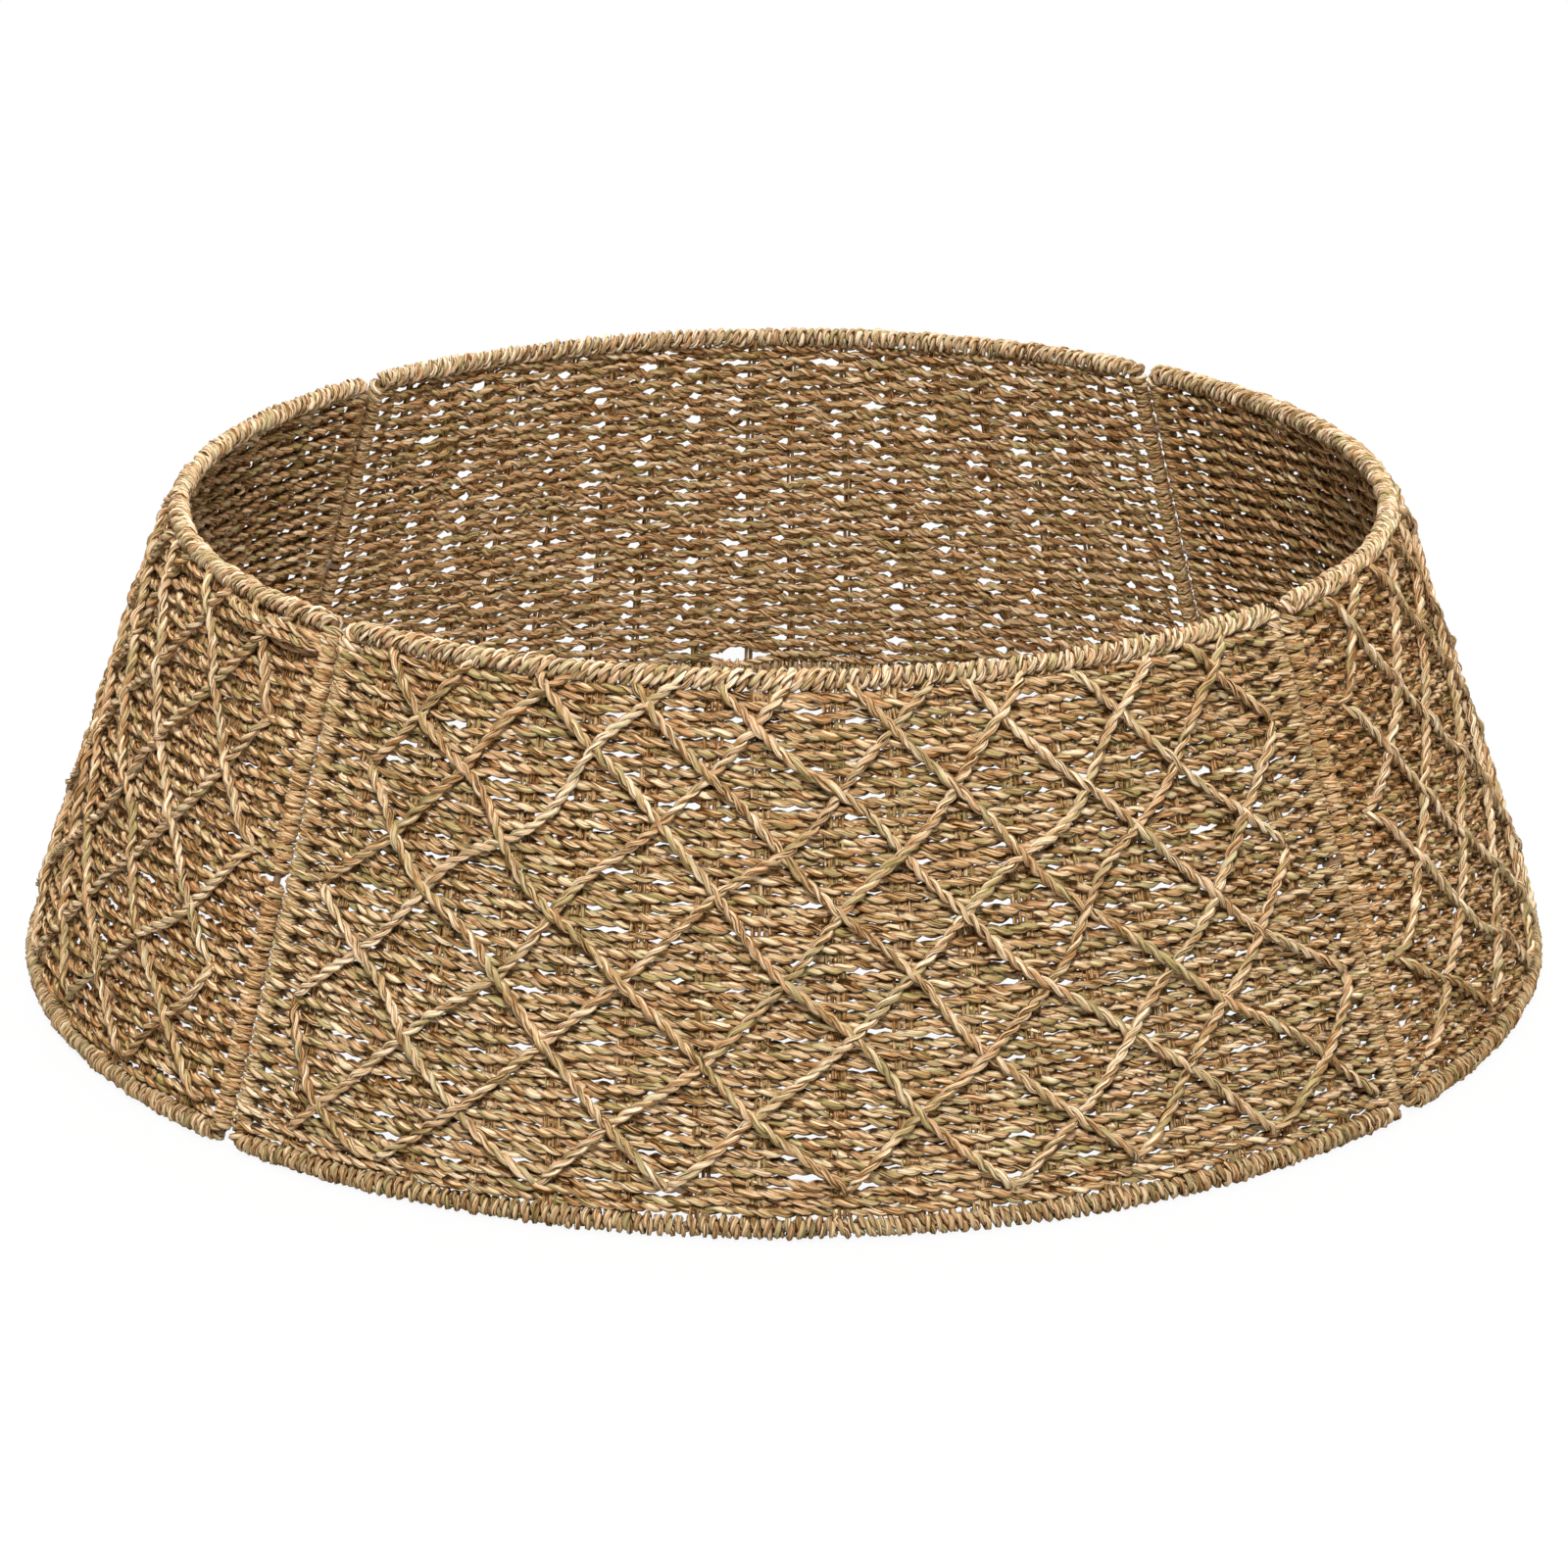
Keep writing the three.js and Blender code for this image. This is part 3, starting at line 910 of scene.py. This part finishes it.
@dataclass
class DiamondLattice(PanelPart):
    """The net of twine on the outer face of one panel."""

    columns: int = 8  # diamonds along the panel
    rows: int = 4  # diamonds up the panel
    inset: float = 18.0 * MM  # end stake to the outermost turns
    margin: float = 10.0 * MM  # bottom rail to the lowest turns
    beyond: float = 8.0 * MM  # top rail to where the uppermost strands would meet above it
    tuck_line: float = 2.0 * MM  # top rail to where they go under the rim
    lie: float = 5.1 * MM  # distance of the twine from the middle of the wall
    over: float = 1.3 * MM  # how far a strand rises over another
    under: float = 0.8 * MM  # how far a strand dips under another
    cross_reach: float = 5.5 * MM  # length beside a crossing over which it does
    falling_share: float = 0.85  # share of the crossings where the falling strand is over
    tuck: float = 4.0 * MM  # how far a strand goes in where it turns
    tuck_reach: float = 4.0 * MM  # length beside a turn over which it does
    stray: Pair = (0.12, 0.06)  # usual distance of a turn from its even place, in columns and rows
    stray_most: float = 0.22  # most of either
    bow: float = 0.035  # usual bow of a strand, in columns and rows
    bow_sway: Sway = Sway(0.08, 45.0 * MM)  # unevenness of the bow
    step: float = 1.7 * MM  # distance between points of the twine
    tint: float = 0.6  # most shift of a strand's colour, either way
    ends_along: float = 0.0  # length of the two loose ends under the top rim, beside the stake at 1
    ends_below: Pair = (7.0 * MM, 11.0 * MM)  # top rail to each of these ends
    ends_over: float = 0.8 * MM  # how far they lie over the net
    ends_sway: Sway = Sway(1.6 * MM, 20.0 * MM)  # how they rise and fall
    ends_tint: float = -0.4  # shift of their colour
    twine: Strand = Strand(2.75 * MM, 2.3 * MM, plies=2, spread=1.0 * MM, lay=12.5 * MM, lumps=0.22)
    strays: Array = field(init=False)  # how far each turn is off its even place
    falling_over: Array = field(init=False)  # whether the falling strand is over at each crossing

    def __post_init__(self) -> None:
        """Draws the places of the turns, and which strand is over at each crossing."""
        super().__post_init__()
        strays = self.rng.normal(0.0, 1.0, (self.columns + 1, self.rows + 1, 2)) * np.array(self.stray)
        self.strays = np.clip(strays, -self.stray_most, self.stray_most)
        crossings = (2 * self.columns + 1, 2 * self.rows + 1)
        self.falling_over = self.rng.random(crossings) < self.falling_share

    def strand_line(self, falling: bool, number: int) -> Array:
        """The line of one strand of the net.

        Args:
            falling: True for a strand that falls from left to right.
            number: column less row along a falling strand, column plus row along a rising one.

        Returns:
            The points of the line.
        """
        way = 1 if falling else -1
        r0 = max(0, -number if falling else number - self.columns)
        r1 = min(self.rows, self.columns - number if falling else number)
        c0, c1 = number + way * r0, number + way * r1
        start = np.array([c0, r0]) + self.strays[c0, r0]
        span = np.array([c1, r1]) + self.strays[c1, r1] - start
        top = self.ring.slant + self.beyond
        cell_height = (top - self.margin) / self.rows
        cell_width = 2.0 * self.ring.half_length(self.ring.slant / 2.0) / self.columns
        length = float(np.hypot(span[0] * cell_width, span[1] * cell_height))
        # The uppermost strands start where they go under the rim, not where they would meet.
        hidden = (self.beyond + self.tuck_line) / cell_height
        first = max(0.0, (hidden - start[1]) / span[1])
        share = np.linspace(first, 1.0, int(length * (1.0 - first) / self.step))
        bow = self.rng.normal(0.0, self.bow) + self.bow_sway.draw(self.rng, share * length)
        bow = bow * 4.0 * share * (1.0 - share)
        column = start[0] + span[0] * share + bow
        row = np.clip(start[1] + span[1] * share - way * bow, 0.0, self.rows)
        out = np.full(len(share), self.lie)
        halves = 2 * (r1 - r0)
        for half_row in range(1, halves):
            above = self.falling_over[2 * c0 + way * half_row, 2 * r0 + half_row] == falling
            near = fall_off((share - half_row / halves) * length, self.cross_reach)
            out += near * (self.over if above else -self.under)
        to_end = np.minimum(share - first, 1.0 - share) * length
        out -= self.tuck * fall_off(to_end, self.tuck_reach)
        up = top - row * cell_height
        along = (2.0 * column / self.columns - 1.0) * (1.0 - self.inset / self.ring.half_length(up))
        return self.ring.place(self.side, along, up, out)

    def loose_end(self, below: float) -> Array:
        """The line of a twine end that is carried along under the top rim to the stake at 1.

        Args:
            below: its distance from the top rail.

        Returns:
            The points of the line.
        """
        where = np.linspace(0.0, self.ends_along, int(self.ends_along / self.step))
        to_stake = self.ends_along - where
        up = self.ring.slant - below + self.ends_sway.draw(self.rng, where)
        tucked = self.tuck * fall_off(np.minimum(where, to_stake), self.tuck_reach)
        out = self.lie + self.ends_over - tucked
        return self.ring.place(self.side, 1.0 - to_stake / self.ring.half_length(up), up, out)

    def strands(self) -> Strands:
        """The strands of the net, and the loose ends beside it.

        Returns:
            The strands of one piece.
        """
        runs = []
        for falling in (True, False):
            numbers = range(1 - self.rows, self.columns) if falling else range(1, self.columns + self.rows)
            for number in numbers:
                points = self.strand_line(falling, number)
                tint = self.rng.uniform(-self.tint, self.tint)
                runs += self.twine.runs(self.rng, points, UPRIGHT, tint)
        if self.ends_along:
            for below in self.ends_below:
                runs += self.twine.runs(self.rng, self.loose_end(below), UPRIGHT, self.ends_tint)
        return [("lattice_twine", self.twine, runs)]


@dataclass(frozen=True)
class Lamp:
    """A soft box over the scene."""

    name: str
    place: Point  # where it hangs
    size: float  # side of its square face
    power: float  # in watts
    aim: Point = (0.0, 0.0, 0.1)  # the point that it faces

    def build(self) -> None:
        """Hangs the lamp."""
        light = bpy.data.lights.new(self.name, "AREA")
        light.size = self.size
        light.energy = self.power
        lamp = add_object(self.name, light)
        lamp.location = self.place
        way = np.subtract(self.aim, self.place)
        flat = math.hypot(way[0], way[1])
        lamp.rotation_euler = (math.atan2(flat, -way[2]), 0.0, math.atan2(way[1], way[0]) - QUARTER)


@dataclass
class Studio:
    """The camera, the pale floor and the soft light."""

    camera_place: Point = (-0.1104, -1.7842, 0.7188)
    camera_tilt: float = 0.3529  # how far it looks down, in radians
    camera_turn: float = 0.0618  # how far it is turned to its right, in radians
    lens: float = 100.12  # focal length in millimetres, on the usual sensor of 36 mm
    floor_size: float = 14.0  # side of the floor
    floor_tone: str = "#B9B8B6"
    floor_white: float = 0.92  # share of plain white in it near the object
    shadow_reach: float = 1.6  # radius within which it shows the shadow
    sky: float = 0.21  # strength of the even light from all round
    lamps: tuple[Lamp, ...] = (
        Lamp("key softbox", (-0.1, -2.0, 2.4), 0.6, 124.0),
        Lamp("fill softbox", (1.9, -1.6, 1.5), 1.6, 5.0),
        Lamp("back softbox", (0.3, 2.3, 1.9), 1.4, 42.0),
        Lamp("top softbox", (0.0, 0.4, 2.6), 1.8, 65.0, (0.0, 0.0, 0.0)),
    )

    def build(self) -> None:
        """Sets up the scene round the object."""
        scene = bpy.context.scene
        scene.view_settings.view_transform = "Standard"
        camera = bpy.data.cameras.new("camera")
        camera.lens = self.lens
        stand = add_object("camera", camera)
        stand.location = self.camera_place
        stand.rotation_euler = (QUARTER - self.camera_tilt, 0.0, -self.camera_turn)
        scene.camera = stand
        for lamp in self.lamps:
            lamp.build()
        self.floor()
        self.surround()

    def seen_directly(self, tree: NodeTree) -> Any:
        """A socket that is 1 where the camera, a reflection or a see-through piece looks at a surface.

        Args:
            tree: the tree it goes into.

        Returns:
            The output socket.
        """
        seen = add_node(tree, "ShaderNodeLightPath", {}, "Is Camera Ray")
        rays = seen.node.outputs
        for name in ("Is Glossy Ray", "Is Transmission Ray"):
            seen = add_node(tree, "ShaderNodeMath", {0: seen, 1: rays[name]}, operation="MAXIMUM")
        return seen

    def floor(self) -> None:
        """Lays the pale floor, which shows nearly white and keeps a soft shadow."""
        half = self.floor_size / 2.0
        mesh = bpy.data.meshes.new("floor")
        corners = [(-half, -half, 0.0), (half, -half, 0.0), (half, half, 0.0), (-half, half, 0.0)]
        mesh.from_pydata(corners, [], [(0, 1, 2, 3)])
        floor = add_object("floor", mesh)
        # Matt paper gives the eye an even pale ground, plain white further out and softly shaded near by.
        material, tree = new_material("pale paper floor")
        paper = add_node(tree, "ShaderNodeBsdfDiffuse", {"Color": linear(self.floor_tone)})
        white = add_node(tree, "ShaderNodeEmission", {"Color": WHITE})
        place = add_node(tree, "ShaderNodeTexCoord", {}, "Object")
        far = add_node(tree, "ShaderNodeVectorMath", {0: place}, "Value", operation="LENGTH")
        whiteness = add_node(
            tree, "ShaderNodeMapRange",
            {
                "Value": far, "From Min": self.shadow_reach / 2.0, "From Max": self.shadow_reach,
                "To Min": self.floor_white, "To Max": 1.0,
            },
        )
        share = add_node(
            tree, "ShaderNodeMath", {0: self.seen_directly(tree), 1: whiteness}, operation="MULTIPLY"
        )
        mix = add_node(tree, "ShaderNodeMixShader", {0: share, 1: paper, 2: white})
        add_node(tree, "ShaderNodeOutputMaterial", {"Surface": mix})
        floor.data.materials.append(material)

    def surround(self) -> None:
        """Sets the even light from all round, and a white background behind the floor."""
        world = bpy.data.worlds.new("studio")
        world.use_nodes = True
        tree = world.node_tree
        tree.nodes.clear()
        light = add_node(tree, "ShaderNodeBackground", {"Color": WHITE, "Strength": self.sky})
        white = add_node(tree, "ShaderNodeBackground", {"Color": WHITE})
        mix = add_node(tree, "ShaderNodeMixShader", {0: self.seen_directly(tree), 1: light, 2: white})
        add_node(tree, "ShaderNodeOutputWorld", {"Surface": mix})
        bpy.context.scene.world = world


def main() -> None:
    """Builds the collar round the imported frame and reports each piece."""
    logging.basicConfig(level=logging.INFO, format="%(name)s: %(message)s")
    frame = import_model()
    ring = RingForm()
    # Woven seagrass gives the eye dull straw and brown streaks, palest on the front wall.
    #     The side and back walls take a browner copy of it, as painted shade.
    weave = SeagrassFinish(
        "twisted seagrass, woven", "#62390C", "#B38A5A", "#E9D4B2", "#948E58", "#AE794E"
    ).material()
    shaded_weave = SeagrassFinish(
        "twisted seagrass, woven, browner", "#62370A", "#B28453", "#E8CEA8", "#948A52", "#AE7547"
    ).material()
    # The binding is of clean pale blades; the bottom rims take a darker copy of it, as painted shade.
    binding = SeagrassFinish(
        "seagrass binding", "#6A4214", "#BA9367", "#EFDCBE", "#9B935F", "#B78056"
    ).material()
    shaded_binding = SeagrassFinish(
        "seagrass binding, dulled by the floor", "#5A370E", "#A27D52", "#DAC4A0", "#888255", "#A27249"
    ).material()
    # The twine of the net is a touch greyer than the front wall.
    net = SeagrassFinish(
        "seagrass twine, pale", "#633D12", "#B28B5E", "#E9D5B6", "#938D5A", "#AE7B50"
    ).material()
    # Satin brown paint shows as a smooth dark line where the wire is bare.
    wire = WireFinish().material()

    for side in PanelSide:
        wall = LooseWall if side is PanelSide.BACK else WovenWall
        # The walls other than the front take the browner copy, which is painted shade.
        wall_finish = weave if side is PanelSide.FRONT else shaded_weave
        rim_seed = RIM_SEED + 2 * side.value
        ends = LOOSE_ENDS if side is PanelSide.LEFT else 0.0
        parts = (
            wall(ring, side, Part.WALL, wall_finish, WALL_SEED + side.value),
            BoundRim(ring, side, Part.TOP_RIM, binding, rim_seed),
            BoundRim(ring, side, Part.BOTTOM_RIM, shaded_binding, rim_seed + 1),
            DiamondLattice(ring, side, Part.NET, net, NET_SEED + side.value, ends_along=ends),
        )
        for part in parts:
            for piece in part.build():
                log.info("%s: %d faces", piece.name, len(piece.data.polygons))

    for name, node in frame["nodes"].items():
        if name.endswith("_frame") or "_link_" in name:
            node.data.materials.clear()
            node.data.materials.append(wire)
            log.info("%s: painted wire", name)

    Studio().build()


if __name__ == "__main__":
    main()
